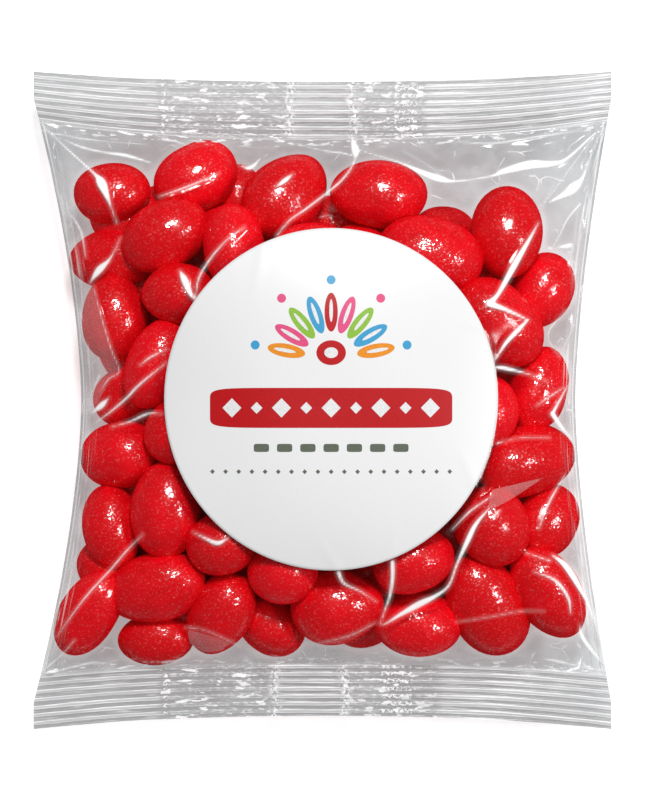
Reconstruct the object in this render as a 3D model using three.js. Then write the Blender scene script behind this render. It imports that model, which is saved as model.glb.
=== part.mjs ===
// A clear pillow bag of candy-coated peanuts with a round paper label, lying on its back.
// Millimetres, +Z up. The origin is under the middle of the bag, on the surface that it lies on.
// +X runs along the end seals, +Y from the bottom seal to the top seal, and the label faces up.

import * as THREE from "three";
import { mergeVertices } from "three/addons/utils/BufferGeometryUtils.js";

// --- Driving dimensions -------------------------------------------------------------------

const CORNER_X = 54.5; // from the middle to the seals' outer corners
const CORNER_Y = 62;
const WAIST_HALF_WIDTH = 46.6; // where the filling pulls the sides in
const WAIST_SHIFT = 1.1; // the waist sits a little to the right of the seals
const FLARE_END = 57; // height above the waist at which the sides reach their full width
const FLARE_POWER = 1.6;

// Each end's two seal lines bow: their distance from the middle in the centre and at the corners.
const TOP_SEAL = { outer: [60.1, CORNER_Y], inner: [49.2, 52.6] };
const BOTTOM_SEAL = { outer: [59.5, CORNER_Y], inner: [49.7, 51.6] };
const BOW_POWER = 2.2;
const SEAL_LEVEL = 12; // the film's middle plane, above the surface that the bag lies on
const SEAL_THICKNESS = 0.8;
const RIBS = 7; // crimped ribs along each end seal
const RIB_HEIGHT = 0.7;

const FRONT_RISE = 18.5; // from the seals' plane to the crown under the label
const BACK_BULGE = 16.5; // the same below, before the surface underneath flattens it
const SIDE_ROUNDING = [2, 0.55]; // powers of the crown's profile from side to side
const END_ROUNDING = [3.2, 0.7]; // and from seal to seal, fuller and then steeper

const FIN_HALF_WIDTH = 6.4; // the back seam, folded flat and caught in both end seals
const FIN_THICKNESS = 0.5;
const FIN_MIDDLE = [-2.3, -0.2]; // its x at the bottom seal and at the top seal
const FIN_STEP = 0.6;

const LABEL_RADIUS = 31.75;
const LABEL_BEND = 0.977; // bent over the crown, it covers this much of its width
const LABEL_CENTRE = [1.6, 0.2];
const LABEL_THICKNESS = 0.35;
const LABEL_GAP = 0.3;

const DIP = 1.7; // how far the film sinks between the sweets
const LABEL_MARGIN = [0.6, 4]; // the film runs smooth this far past the label, then takes the relief

// The sweets that press against the front film, row by row from the top seal down:
// x, y, length, width and turn in degrees from +X.
const SWEETS = [
  [-39.5, 39, 14, 11.5, 8], [-24, 41.5, 15.5, 12.5, 24], [-7.5, 38, 16.5, 13, 48],
  [10.5, 38.5, 17.5, 12.5, -4], [34.5, 31.5, 16.5, 13, 92],
  [-39, 27, 15.5, 11.5, 8], [-29.5, 31, 16.5, 12.5, 27], [-16.5, 29, 15.5, 11.5, 98],
  [20.5, 27.5, 19.5, 13.5, -16], [41, 20.5, 14, 11, 72],
  [-39, 15.5, 16, 12, 92], [-27, 20, 13, 11, -8], [33.5, 15, 18.5, 13.5, -42],
  [-31, 7, 17, 11.5, 68], [40.5, 2, 15.5, 11, 74], [32, -2.5, 12.5, 10.5, 80],
  [-38.5, -10.5, 14.5, 12.5, 10], [-28, -6, 12.5, 11, 70], [38, -11.5, 18, 13, 12],
  [-39.5, -24, 15.5, 11, 97], [-29.5, -20.5, 17.5, 12.5, 86], [32, -23.5, 15, 13.5, -50],
  [42, -23, 13.5, 12, 60], [-19, -27, 13, 11.5, 20], [-7.5, -32, 13, 11.5, 10],
  [17, -30, 15, 11.5, 14],
  [-43, -40, 18, 11, 57], [-31.5, -35, 18.5, 12.5, 11], [-19.5, -39.5, 15, 11.5, 62],
  [-10, -42.5, 12.5, 11, -35], [3, -39, 16.5, 13.5, 14], [18, -42, 16, 11.5, -3],
  [31, -38, 18.5, 14, -62], [41.5, -36.5, 18.5, 12, -58],
];

// Those against the back film lie in staggered rows, each turned by a fixed step from the last.
const BACK_PITCH = [16, 12.5];
const BACK_SWEET = [15, 12];
const BACK_TURN_STEP = 67;

// --- Mesh density -------------------------------------------------------------------------

const FIN_COLUMNS = 2; // columns on each side of the bag's middle that follow the back seam
const SIDE_COLUMNS = 18; // and from there out to the side
const BODY_ROWS = 21; // rows from the waist to each end seal
const SEAL_ROWS = 2 * RIBS;
const CROWDING = 1.3; // rows and columns crowd towards the edges
const LABEL_SPOKES = 48;
const LABEL_RINGS = 5;

// --- The pillow's form ----------------------------------------------------------------------

const bow = ([middle, corner], x) =>
  middle + (corner - middle) * Math.abs(x / CORNER_X) ** BOW_POWER;
const sealAt = (y) => (y < 0 ? BOTTOM_SEAL : TOP_SEAL);
const flare = (y) => Math.min(1, Math.abs(y) / FLARE_END);
const halfWidth = (y) =>
  WAIST_HALF_WIDTH + (CORNER_X - WAIST_HALF_WIDTH) * flare(y) ** FLARE_POWER;
const middleX = (y) => WAIST_SHIFT * (1 - flare(y) ** 2);
const finX = (y) => THREE.MathUtils.mapLinear(y, -CORNER_Y, CORNER_Y, ...FIN_MIDDLE);
const dome = (t, [inner, outer]) => Math.max(0, 1 - Math.abs(t) ** inner) ** outer;

// How far the pillow swells at a point, from 0 along its outline to 1 at its middle.
function swell(x, y) {
  const across = (x - middleX(y)) / halfWidth(y);
  const along = y / bow(sealAt(y).inner, across * CORNER_X);
  return dome(across, SIDE_ROUNDING) * dome(along, END_ROUNDING);
}

const smoothFront = (x, y) => SEAL_LEVEL + SEAL_THICKNESS / 2 + FRONT_RISE * swell(x, y);

function backSweets() {
  const [stepX, stepY] = BACK_PITCH;
  const columns = Math.ceil(CORNER_X / stepX);
  const rows = Math.ceil(CORNER_Y / stepY);
  const sweets = [];
  for (let row = -rows; row <= rows; row++)
    for (let column = -columns; column <= columns; column++) {
      const stagger = row % 2 ? stepX / 2 : 0;
      const turn = BACK_TURN_STEP * sweets.length;
      sweets.push([column * stepX + stagger, row * stepY, ...BACK_SWEET, turn]);
    }
  return sweets;
}

// How much of the film's sag the sweets at it take up: 1 over a sweet's middle, 0 in the gaps.
function support(sweets, x, y) {
  let most = 0;
  for (const [cx, cy, length, width, turn] of sweets) {
    const angle = THREE.MathUtils.degToRad(turn);
    const along = (x - cx) * Math.cos(angle) + (y - cy) * Math.sin(angle);
    const across = (y - cy) * Math.cos(angle) - (x - cx) * Math.sin(angle);
    most = Math.max(most, 1 - (2 * along / length) ** 2 - (2 * across / width) ** 2);
  }
  return Math.sqrt(most);
}

// How far the film sinks in between the sweets at a point; it is taut towards its outline.
const dip = (sweets, x, y) => DIP * (1 - support(sweets, x, y)) * Math.min(1, 2 * swell(x, y));

function frontZ(x, y) {
  const [centreX, centreY] = LABEL_CENTRE;
  const fromLabel = Math.hypot((x - centreX) / LABEL_BEND, y - centreY) - LABEL_RADIUS;
  const free = THREE.MathUtils.smoothstep(fromLabel, ...LABEL_MARGIN);
  return smoothFront(x, y) - dip(SWEETS, x, y) * free;
}

const BACK_SWEETS = backSweets();

function backZ(x, y) {
  const seam = Math.abs(x - finX(y)) < FIN_HALF_WIDTH - FIN_STEP / 2 ? FIN_THICKNESS : 0;
  const round = SEAL_LEVEL - SEAL_THICKNESS / 2 - BACK_BULGE * swell(x, y);
  return Math.max(0, round + dip(BACK_SWEETS, x, y) - seam);
}

// --- Bag ------------------------------------------------------------------------------------

// Merges a geometry's corners into one closed skin and moves each of them with place().
function reshaped(geometry, place) {
  geometry.deleteAttribute("normal");
  geometry.deleteAttribute("uv");
  const skin = mergeVertices(geometry);
  const positions = skin.getAttribute("position");
  const point = new THREE.Vector3();
  for (let i = 0; i < positions.count; i++) {
    place(point.fromBufferAttribute(positions, i));
    positions.setXYZ(i, point.x, point.y, point.z);
  }
  skin.computeVertexNormals();
  return skin;
}

const crowded = (t) => 1 - (1 - t) ** CROWDING;

// x of a column: the first ones keep to the back seam's edges, the rest spread out to the side.
function columnX(column, y) {
  const side = Math.sign(column);
  const steps = Math.abs(column);
  const seam = finX(y);
  if (steps < FIN_COLUMNS) return seam + side * steps * (FIN_HALF_WIDTH - FIN_STEP);
  const from = seam + side * FIN_HALF_WIDTH;
  const to = middleX(y) + side * halfWidth(y);
  return THREE.MathUtils.lerp(from, to, crowded((steps - FIN_COLUMNS) / SIDE_COLUMNS));
}

// y of a row at the distance x from the middle, and the rib's lift where it lies in a seal.
function rowY(row, x) {
  const side = Math.sign(row);
  const steps = Math.abs(row);
  const seal = side < 0 ? BOTTOM_SEAL : TOP_SEAL;
  const inner = bow(seal.inner, x);
  if (steps <= BODY_ROWS) return { y: side * inner * crowded(steps / BODY_ROWS), rib: 0 };
  const rise = (steps - BODY_ROWS) / SEAL_ROWS;
  const rib = steps % 2 === BODY_ROWS % 2 ? -RIB_HEIGHT / 2 : RIB_HEIGHT / 2;
  return { y: side * THREE.MathUtils.lerp(inner, bow(seal.outer, x), rise), rib };
}

function makeBag() {
  const columns = 2 * (FIN_COLUMNS + SIDE_COLUMNS);
  const rows = 2 * (BODY_ROWS + SEAL_ROWS);
  // One step of this block is one column or row, so a corner's place in it is its number.
  const block = new THREE.BoxGeometry(columns, rows, 2, columns, rows, 1);
  return reshaped(block, (point) => {
    const [column, row] = [Math.round(point.x), Math.round(point.y)];
    const across = (columnX(column, 0) - WAIST_SHIFT) / WAIST_HALF_WIDTH;
    const { y, rib } = rowY(row, across * CORNER_X);
    const x = columnX(column, y);
    const z = point.z > 0 ? frontZ(x, y) : backZ(x, y);
    point.set(x, y, z + rib);
  });
}

// --- Label ----------------------------------------------------------------------------------

// A thin disc on the crown, bent to follow the film.
function makeLabel() {
  const profile = [];
  for (let ring = 0; ring <= LABEL_RINGS; ring++)
    profile.push(new THREE.Vector2((LABEL_RADIUS * ring) / LABEL_RINGS, 0));
  for (let ring = LABEL_RINGS; ring >= 0; ring--)
    profile.push(new THREE.Vector2((LABEL_RADIUS * ring) / LABEL_RINGS, LABEL_THICKNESS));
  const disc = new THREE.LatheGeometry(profile, LABEL_SPOKES).rotateX(Math.PI / 2);
  return reshaped(disc, (point) => {
    point.x = LABEL_CENTRE[0] + LABEL_BEND * point.x;
    point.y += LABEL_CENTRE[1];
    point.z += smoothFront(point.x, point.y) + LABEL_GAP;
  });
}

// --- Assembly -------------------------------------------------------------------------------

const filledFilm = new THREE.MeshStandardMaterial({ color: 0xc8101c, roughness: 0.25 });
const labelPaper = new THREE.MeshStandardMaterial({ color: 0xf2f2f2, roughness: 0.5 });

const bag = new THREE.Mesh(makeBag(), filledFilm);
bag.name = "bag";
const label = new THREE.Mesh(makeLabel(), labelPaper);
label.name = "label";

const pack = new THREE.Group();
pack.add(bag, label);

export default pack;
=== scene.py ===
"""A clear pillow bag of red candy-coated peanuts with a round label, lying on its back.

Lengths are in millimetres until a mesh is made, in the frame's axes: +X along the end seals,
+Y from the bottom seal to the top seal, +Z up out of the label, z = 0 under the bag.
"""

import functools
import math

import bmesh
import bpy
import numpy as np
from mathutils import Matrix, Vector
from mathutils.bvhtree import BVHTree


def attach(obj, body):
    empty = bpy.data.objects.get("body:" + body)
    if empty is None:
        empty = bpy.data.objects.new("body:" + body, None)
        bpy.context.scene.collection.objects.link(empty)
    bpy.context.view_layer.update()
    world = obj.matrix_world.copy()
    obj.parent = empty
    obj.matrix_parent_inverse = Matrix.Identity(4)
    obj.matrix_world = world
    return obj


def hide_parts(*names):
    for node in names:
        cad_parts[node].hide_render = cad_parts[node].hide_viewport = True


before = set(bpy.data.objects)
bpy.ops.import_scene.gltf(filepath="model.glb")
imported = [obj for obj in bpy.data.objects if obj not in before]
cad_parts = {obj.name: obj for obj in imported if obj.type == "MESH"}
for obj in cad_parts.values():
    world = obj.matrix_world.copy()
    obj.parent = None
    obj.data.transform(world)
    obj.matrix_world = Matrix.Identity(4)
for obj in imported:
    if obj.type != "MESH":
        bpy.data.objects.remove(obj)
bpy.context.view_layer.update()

MM = 0.001
RNG = np.random.default_rng(20)

# --- The bag's form, as in the solid ---

CORNER_X, CORNER_Y = 54.5, 62.0
WAIST_HALF_WIDTH = 46.6
WAIST_SHIFT = 1.1
FLARE_END, FLARE_POWER = 57.0, 1.6
TOP_SEAL = {"outer": (60.1, CORNER_Y), "inner": (49.2, 52.6)}
BOTTOM_SEAL = {"outer": (59.5, CORNER_Y), "inner": (49.7, 51.6)}
BOW_POWER = 2.2
SEAL_LEVEL = 12.0
RIBS = 7
FRONT_RISE, BACK_BULGE = 18.9, 16.9
SIDE_ROUNDING = (2.0, 0.55)
END_ROUNDING = (3.2, 0.7)
FIN_HALF_WIDTH = 6.4
FIN_MIDDLE = (-2.3, -0.2)
LABEL_RADIUS = 31.75
LABEL_CENTRE = (1.6, 0.2)
LABEL_BEND = 0.977  # bent over the crown, it covers this much of its width
LABEL_LIFT, LABEL_RIPPLE = 0.5, 0.07
FOLD_RISE, FOLD_REACH = 0.16, 0.9
LOWEST_FILM = 0.25
# Folds of the film that run on under the label: from its edge inwards.
LABEL_FOLDS = (
    ((-10.4, 31.7), (-13.2, 17)), ((12.9, -31), (13.4, -20)), ((3.4, -32.5), (-1, -25)),
    ((29, -17), (25, -8)), ((31, 13), (24, 15)), ((-26, -18), (-20, -22)),
)
INK_STEP = 0.025

# The sweets that show at the front, from the top seal down:
# x, y, length, width, turn in degrees, and how far each lies below the film.
SHOWN_SWEETS = (
    (-39.5, 39, 14, 11.5, 8, 0), (-24, 41.5, 15.5, 12.5, 24, 0), (-7.5, 38, 16.5, 13, 48, 0),
    (10.5, 38.5, 17.5, 12.5, -4, 0), (23, 31, 12.5, 11, 0, 9), (34.5, 31.5, 16.5, 13, 92, 0),
    (-32, 36, 12.5, 11, 20, 9.5), (2, 33, 12.5, 11, 0, 9.5), (-39, 27, 15.5, 11.5, 8, 4),
    (-29.5, 31, 16.5, 12.5, 27, 0), (-16.5, 29, 15.5, 11.5, 98, 0), (-2, 27, 15.5, 12, 10, 3),
    (6.5, 28, 12.5, 11.5, 0, 4), (20.5, 27.5, 19.5, 13.5, -16, 0), (41, 20.5, 14, 11, 72, 0),
    (-39, 15.5, 16, 12, 92, 0), (-27, 20, 13, 11, -8, 0), (33.5, 15, 18.5, 13.5, -42, 0),
    (-31, 7, 17, 11.5, 68, 0), (-36.5, 1.5, 13, 11, 30, 5), (40.5, 2, 15.5, 11, 74, 0),
    (31.5, -2.5, 12.5, 10.5, 80, 3), (-38, -10.5, 13.4, 12.5, 10, 0),
    (-28, -6, 12.5, 11, 70, 4), (38, -11.5, 18, 13, 12, 0), (-39.5, -24, 15.5, 11, 97, 0),
    (-29.5, -20.5, 17.5, 12.5, 86, 0), (32, -23.5, 15, 13.5, -50, 0),
    (42, -23, 13.5, 12, 60, 3), (-19, -27, 13, 11.5, 20, 0), (-7.5, -32, 13, 11.5, 10, 0),
    (17, -30, 15, 11.5, 14, 0), (-43, -40, 17, 11, 57, 2.5), (-31.5, -35, 18.5, 12.5, 11, 0),
    (-19.5, -39.5, 15, 11.5, 62, 0), (-31, -44.5, 13.5, 9.5, 4, 3.5),
    (-10.5, -42.5, 12.5, 11, -35, 3), (3, -39, 16.5, 13.5, 14, 0), (7.5, -42, 12.5, 11, 0, 9),
    (18, -42, 16, 11.5, -3, 0), (31, -38, 18.5, 14, -62, 0), (41.5, -36.5, 18, 12, -58, 3),
)

# Creases of the front film, each a run of x, y and the width of its bright side, a white streak
# painted on as its highlight.
CREASES = (
    # left corner
    ((-53.3, 52.3, .3), (-47.5, 46.8, .5), (-42.8, 42.5, .7), (-41.4, 40.7, 1.9),
     (-40.4, 38.4, 1.2), (-39.5, 36, .4), (-38.5, 33.2, .3)),
    ((-37.8, 30.3, .25), (-39.2, 27.4, .35), (-40.2, 26, .8), (-41.8, 24.5, 1.5),
     (-43, 23, .8), (-43.8, 21.8, .2)),
    ((-48.5, 49, .3), (-45.5, 47.7, .6), (-41.5, 46.7, .5), (-37, 46, .8), (-32, 44.5, .3)),
    ((-48.5, 36.5, .3), (-45.5, 32, .6), (-44.5, 27, .3)),
    # upper row
    ((-30.5, 38, .25), (-25, 40, .5), (-19.5, 42.3, .25)),
    ((-14.5, 32.2, .25), (-18, 29.5, .4), (-21, 26, .5), (-23, 22.5, .5), (-23.5, 19, .3)),
    ((-26.5, 24, .4), (-25.6, 22.3, 1.5), (-24.5, 19.8, 1.0), (-23.5, 18.5, .3)),
    ((-8.8, 39.7, .25), (-7, 41, 1.0), (-5.5, 42.3, .2)),
    ((-15.5, 44, .2), (-13.5, 43.5, .9), (-11.5, 45.5, .2)),
    ((6, 48.5, .9), (6, 45, .5), (3.5, 41, .5), (-2.5, 36, .5), (-6, 33.5, .4), (-8.5, 30.5, .3)),
    ((7, 47, .3), (14.5, 44.5, .5), (19.5, 42.3, 1.2), (22, 41.5, 1.4), (25, 41, .5),
     (31.5, 42, .5), (34, 43, 1.2), (39, 44.3, 1.8), (43, 44.5, 1.2), (46, 45.5, .7),
     (51.5, 50.5, .4)),
    ((26, 48.5, .3), (33, 48.5, .5), (42.5, 50, .5), (50, 51, .3)),
    ((15, 47, .2), (19, 44.5, .3), (22, 42.5, .2)),
    # right corner and side
    ((52.7, 51.6, .3), (50.3, 45.5, .35), (48.9, 41.8, .8), (47.2, 40, 2.0), (45.6, 38.8, 1.3),
     (42.6, 37.2, .3)),
    ((48.5, 37, .5), (46, 34, .4), (44.5, 31, .3), (43, 28.5, .2)),
    ((43.5, 28.5, .2), (46, 29, .9), (47, 29, .5), (46.5, 26, .2)),
    ((40.4, 33.2, .25), (38.6, 30, .8), (36, 25.6, 1.3), (34, 22, 1.1), (32.5, 19.5, .9),
     (31, 18, 1.4)),
    ((31, 18, 1.4), (34, 16.9, .9), (36.3, 15.9, .7), (38.3, 14.9, .5)),
    ((38.3, 15, .5), (36.3, 13, 1), (34, 10.5, .8), (32, 7.4, .3)),
    ((32.2, 6.2, .6), (34.2, 5.9, .9), (38.4, 4.9, .4), (42, 3.5, .2)),
    ((46.2, 3, .3), (44.3, -.3, .6), (43.1, -2.5, .8)),
    ((43.1, -2.5, 1.1), (44.6, -4.7, .8), (47, -7.5, .3)),
    ((40, -1, .2), (43, 1, .4), (45.5, 2.5, .2)),
    ((32.5, -8, .1), (37, -7, .2), (42.5, -7, .1)),
    ((45.5, -14, .2), (43, -18, .5), (41.5, -21, .5), (40.5, -24, .2)),
    # lower right
    ((43, -29, .4), (45.3, -30.7, 1.2), (47.3, -33.5, 1.3), (49.8, -38, .7), (51.5, -42.5, .5),
     (52.3, -45.5, .3)),
    ((38, -28.5, .2), (42.5, -30, .4)),
    ((39.5, -32, .25), (43.5, -33.7, .7), (46, -37, .7), (46.5, -40, .25)),
    ((31, -20, .3), (28.5, -23, .9), (27, -26, 1.1), (25, -30.5, .6), (23.5, -34.5, .6),
     (21, -36.5, .9), (18, -38, 1.4), (14.5, -40, .9), (11, -42, .3), (11.5, -39.5, .4),
     (12.5, -36.5, .7), (13, -33, .9), (13, -30, .9)),
    ((3, -32, .9), (4, -34, .7), (7, -35.5, .5), (10, -37.5, .25)),
    ((24, -24, .2), (27.5, -20.5, .5), (32, -17.5, .2)),
    ((25, -41.5, .1), (31.5, -40.5, .2), (37, -39.5, .2), (41.5, -39.5, .1)),
    # left side
    ((-29, 9.5, .2), (-32, 8, .5), (-34, 6.5, .2)),
    ((-29, 7, .2), (-34, 3, .6), (-36.5, .5, .6), (-39.5, -2, .5), (-43, -4.5, .2)),
    ((-30, -2.5, .2), (-32.5, -2.5, .6), (-36, -4, .5), (-39.5, -5, .2)),
    ((-40, .5, .2), (-41.5, -1, 1.3), (-43.5, -2.5, .2)),
    ((-43, 21.5, .2), (-41.5, 16, .3), (-39.5, 9.5, .35), (-38, 5.5, .3), (-40, 4, .4),
     (-42, 1.5, .2)),
    # lower left and bottom
    ((-24, -24.5, .2), (-22, -25.5, .6), (-19.5, -26.5, 1), (-17.5, -25.5, .3)),
    ((-33.5, -25, .2), (-36.5, -28, .4), (-39.5, -31.5, .45), (-44.5, -37, .4), (-50, -44.5, .2)),
    ((-25.5, -42.5, .2), (-22, -43, .25), (-17.5, -45, .3), (-13.5, -47.5, .2)),
    ((-1, -45.5, .2), (5, -44, .3), (10, -41.5, .2)),
    # fans out of the seals' ends and the middle of the top seal
    ((-54, -51.9, .3), (-51.5, -50, .35), (-49, -47.8, .3), (-46.5, -45, .2)),
    ((-54, -52, .4), (-50, -51, .5), (-46, -50, .55), (-43, -49.4, .6), (-40, -49.6, .2)),
    ((-53.5, -52.3, .3), (-47, -51.2, .3), (-40, -50.3, .2)),
    ((54.3, -51, .4), (51.7, -48.3, .6), (48.9, -44.5, .9), (48.4, -42.2, .3)),
    ((54.2, -51.2, .3), (48.4, -50.1, .4), (44.5, -49.2, .7), (40.9, -48.6, .2)),
    ((51.7, 50.5, .3), (46.7, 43.8, .25), (41.8, 37.1, .2)),
    ((-53.5, 50.5, .3), (-52, 46, .4), (-50.5, 41, .35), (-49, 35, .2)),
    ((-53.8, 51, .3), (-47, 49.6, .4), (-40, 48.6, .3), (-33, 48.2, .2)),
    ((5.7, 49, .9), (6.2, 47, 1.6), (6.3, 45.5, .4)),
    ((6.3, 45.6, .3), (3.5, 46.5, .5), (0.5, 46.5, .2)),
    ((-5.5, 48.5, .2), (-1, 47.2, .35), (3, 46.6, .3)),
    # threads along the right side and the left side
    ((46.8, 25.8, .2), (47.7, 21.2, .3), (47.7, 16.9, .25), (47.1, 13.7, .3), (45.2, 9.6, .2)),
    ((45.2, 9.6, .2), (46.6, 6.9, .25), (47.3, 5.1, .2)),
    ((45.7, 16.9, .2), (42.2, 12.3, .3), (44.6, 8.1, .2)),
    ((43.7, 40.9, .2), (40.9, 36.2, .2)),
    ((-44.6, 7.8, .25), (-43.5, 5.6, .2)),
    ((-41.8, 4.7, .5), (-43.5, 1.3, .2)),
    ((-46.5, 30, .2), (-45.6, 24, .3), (-45, 17, .25), (-45.2, 11, .2)),
)

# Where the film is folded double over the sweets, with a pale haze painted on as its reflection:
# the corners of each fold.
VEILS = (
    ((-42.6, 21), (-41.2, 15.8), (-39.9, 10.9), (-38.2, 5.8), (-39.6, 4.2), (-41.9, 0.1),
     (-43.9, -2.9), (-46, -3.5), (-48.5, 21.5)),
    ((-25.4, -42.9), (-22.2, -43.6), (-17.3, -45.3), (-18.9, -47), (-22.5, -47.3),
     (-24.8, -45.7)),
    ((31.5, -16.6), (41.5, -14.4), (35, -18.5), (30.5, -20.8)),
)


def bow(line, x):
    middle, corner = line
    return middle + (corner - middle) * np.abs(x / CORNER_X) ** BOW_POWER


def seal_line(name, x, y):
    return np.where(y < 0, bow(BOTTOM_SEAL[name], x), bow(TOP_SEAL[name], x))


def flare(y):
    return np.minimum(1, np.abs(y) / FLARE_END)


def half_width(y):
    return WAIST_HALF_WIDTH + (CORNER_X - WAIST_HALF_WIDTH) * flare(y) ** FLARE_POWER


def middle_x(y):
    return WAIST_SHIFT * (1 - flare(y) ** 2)


def to_side(x, y):
    return half_width(y) - np.abs(x - middle_x(y))


def to_seal(x, y):
    return seal_line("inner", x, y) - np.abs(y)


def fin_x(y):
    low, high = FIN_MIDDLE
    return low + (high - low) * (y + CORNER_Y) / (2 * CORNER_Y)


def dome(t, powers):
    inner, outer = powers
    return np.maximum(0, 1 - np.abs(t) ** inner) ** outer


def swell(x, y):
    """How far the pillow swells at a point: 0 along its outline, 1 at its middle."""
    across = (x - middle_x(y)) / half_width(y)
    along = y / seal_line("inner", across * CORNER_X, y)
    return dome(across, SIDE_ROUNDING) * dome(along, END_ROUNDING)


def front_form(x, y):
    return SEAL_LEVEL + FRONT_RISE * swell(x, y)


def back_form(x, y):
    return np.maximum(LOWEST_FILM, SEAL_LEVEL - BACK_BULGE * swell(x, y))


def thickness(x, y):
    return front_form(x, y) - back_form(x, y)


def upward(surface, x, y, step=0.5):
    """The surface's unit normal at a point, on the side that faces up."""
    slope_x = (surface(x + step, y) - surface(x - step, y)) / (2 * step)
    slope_y = (surface(x, y + step) - surface(x, y - step)) / (2 * step)
    normal = np.stack([-slope_x, -slope_y, np.ones_like(slope_x)], -1)
    return normal / np.linalg.norm(normal, axis=-1, keepdims=True)


def smoothstep(t, low, high):
    t = np.clip((t - low) / (high - low), 0, 1)
    return t * t * (3 - 2 * t)


def window(t, low, full, still_full, high):
    """0 up to low, 1 from full to still_full, 0 past high, smooth between."""
    return smoothstep(t, low, full) * (1 - smoothstep(t, still_full, high))


# --- Noise ---


def waves(x, y, length_x, length_y, count, rng):
    """Smooth noise about 0 with a spread of about 1: waves of about the given lengths."""
    total = np.zeros_like(x)
    for _ in range(count):
        angle = rng.uniform(0, 2 * math.pi)
        stretch = rng.uniform(0.7, 1.4)
        phase = rng.uniform(0, 2 * math.pi)
        along = math.cos(angle) * x / length_x + math.sin(angle) * y / length_y
        total += np.sin(2 * math.pi * along * stretch + phase)
    return total * math.sqrt(2 / count)


# --- Meshes ---


def linked(name, data):
    """A new object for the mesh, lamp or camera, put in the scene."""
    item = bpy.data.objects.new(name, data)
    bpy.context.scene.collection.objects.link(item)
    return item


def new_object(name, points, faces):
    """A smooth mesh that rides on the root; points in mm, faces all with as many sides."""
    mesh = bpy.data.meshes.new(name)
    points = np.asarray(points, float) * MM
    faces = np.asarray(faces, np.int32)
    mesh.vertices.add(len(points))
    mesh.vertices.foreach_set("co", points.ravel())
    sides = faces.shape[1]
    mesh.loops.add(faces.size)
    mesh.loops.foreach_set("vertex_index", faces.ravel())
    mesh.polygons.add(len(faces))
    mesh.polygons.foreach_set("loop_start", np.arange(len(faces), dtype=np.int32) * sides)
    mesh.polygons.foreach_set("use_smooth", np.ones(len(faces), bool))
    mesh.update(calc_edges=True)
    mesh.validate()
    piece = linked(name, mesh)
    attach(piece, "root")
    return piece


def grid_faces(rows, columns, flip=False):
    """Quads of a grid of points laid out row by row."""
    index = np.arange(rows * columns).reshape(rows, columns)
    a, b = index[:-1, :-1].ravel(), index[:-1, 1:].ravel()
    c, d = index[1:, 1:].ravel(), index[1:, :-1].ravel()
    return np.stack([a, d, c, b] if flip else [a, b, c, d], 1)


def add_values(piece, name, values, kind="FLOAT", field="value"):
    """One value, or one colour, for each of the piece's points, for its material to read."""
    attribute = piece.data.attributes.new(name, kind, "POINT")
    attribute.data.foreach_set(field, np.asarray(values, np.float32).ravel())


# --- Sweets: where they lie ---

HIDDEN_PITCH, HIDDEN_JITTER = (14.2, 12.6), 0.8
BACK_PITCH, BACK_JITTER = (13.6, 11.6), 1.0
LENGTHS, WIDTHS = (13, 18), (11, 13)  # of the hidden sweets
HIDDEN_DEPTH = 7.0  # of their middles below the front film
BACK_HEIGHT = 6.4  # of their middles above the back film
HIDDEN_CLEAR = 11.0  # from a shown sweet's middle
BACK_CLEAR = 8.5  # from the middle of any sweet of the front layer
EDGE_MARGIN = 6.0  # of the back layer's middles from the sides and seals
THICK_ENOUGH = 16.5  # a second layer of sweets lies only where the bag is this thick
GROWTH = 1.04  # the shown sweets, next to the sizes in the list
FILM_GIVE = 0.2  # between a shown sweet and the smooth film that it starts from
LOWEST_SWEET = 0.6  # above the surface that the bag lies on

# How sweets settle: how freely each kind moves, the room that they keep from the film, and the
# share of an overlap that one step takes away.
TOP_GIVE, SHOWN_GIVE, HIDDEN_GIVE, BACK_GIVE = 0.08, 0.4, 0.6, 1.0
SETTLE_STEPS = 320
FRONT_ROOM, BACK_ROOM, SIDE_ROOM = 0.25, 0.1, 0.4
PUSH_SHARE, FILM_SHARE, SIDE_SHARE = 0.35, 0.5, 0.4
LONGEST_MOVE = 1.2
PINNING, ROAMING = 0.4, 0.03  # each step, a shown or a hidden sweet goes this share of its way back
FIRST_HOLD, LAST_HOLD = 0.4, 0.08  # the same for the height of a top sweet
END_RADIUS = 0.42  # of a sweet's width, for the round ends of the shape that it settles as

# Small sweets fill the gaps that one could look straight through.
GAP_GRID, GAP_THICKNESS, COVER_MARGIN = 2.0, 15.5, 1.0
AMONG = 2.8  # a gap lies among the shown sweets if no wider angle round it is free of them
FILLER_LENGTH, FILLER_WIDTH, FILLER_SPACING = 13.5, 11, 5


def lattice(pitch, jitter):
    """Staggered rows of points over the bag, each moved a little."""
    steps = range(-5, 6)
    points = np.array([(column + 0.5 * (row % 2), row) for row in steps for column in steps])
    return points * pitch + RNG.uniform(-jitter, jitter, points.shape)


def random_sweets(points, z):
    """Sizes and free directions for sweets at the given places."""
    count = len(points)
    length = RNG.uniform(*LENGTHS, count)
    width = RNG.uniform(*WIDTHS, count)
    axis = RNG.normal(size=(count, 3)) * (1, 1, 0.25)
    axis /= np.linalg.norm(axis, axis=1, keepdims=True)
    return np.column_stack([points, z, length, width, axis])


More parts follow.
